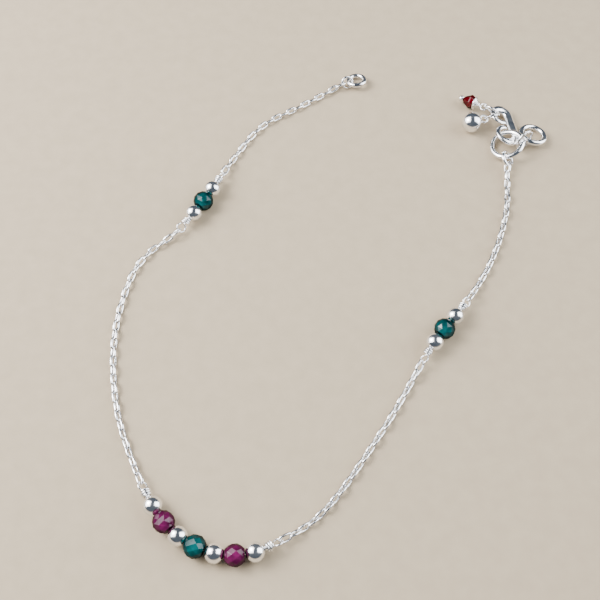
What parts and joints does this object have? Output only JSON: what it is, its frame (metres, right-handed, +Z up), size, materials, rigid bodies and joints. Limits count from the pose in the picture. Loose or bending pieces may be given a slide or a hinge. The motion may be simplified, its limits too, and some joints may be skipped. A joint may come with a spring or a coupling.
{
  "type": "payal anklet",
  "caption": "Fine silver cable chain anklet laid open, with wired groups of silver and faceted crystal beads, an end ring, and a hook clasp with rings and two small charms.",
  "frame": {"origin": "centre of the bounding box on the surface that the anklet lies on", "axes": "+Z up from the surface, +Y from the middle bead group towards the two ends, +X towards the side with the clasp"},
  "size_m": [0.0918, 0.112, 0.0048],
  "materials": {
    "polished_silver": "mirror polish with fine wear",
    "green_crystal": "faceted, deep emerald",
    "pink_crystal": "faceted, deep pink",
    "red_crystal": "faceted, dark red"
  },
  "bodies": {
    "root": {"end_ring": "polished_silver", "end_ring_link": "polished_silver", "chain_ring_to_left": "polished_silver", "chain_left_to_centre": "polished_silver", "chain_centre_to_right": "polished_silver", "chain_right_to_clasp": "polished_silver", "left_bead_wire": "polished_silver", "centre_bead_wire": "polished_silver", "right_bead_wire": "polished_silver", "jump_ring": "polished_silver", "clasp_ring": "polished_silver", "large_ring_link": "polished_silver", "large_ring": "polished_silver", "hook_clasp": "polished_silver", "charm_link_red": "polished_silver", "head_pin": "polished_silver", "charm_link_ball": "polished_silver", "charm_ball": "polished_silver", "left_silver_bead_1": "polished_silver", "left_green_bead_2": "green_crystal", "left_silver_bead_3": "polished_silver", "centre_silver_bead_1": "polished_silver", "centre_pink_bead_2": "pink_crystal", "centre_silver_bead_3": "polished_silver", "centre_green_bead_4": "green_crystal", "centre_silver_bead_5": "polished_silver", "centre_pink_bead_6": "pink_crystal", "centre_silver_bead_7": "polished_silver", "right_silver_bead_1": "polished_silver", "right_green_bead_2": "green_crystal", "right_silver_bead_3": "polished_silver", "charm_red_crystal": "red_crystal"}
  },
  "joints": []
}
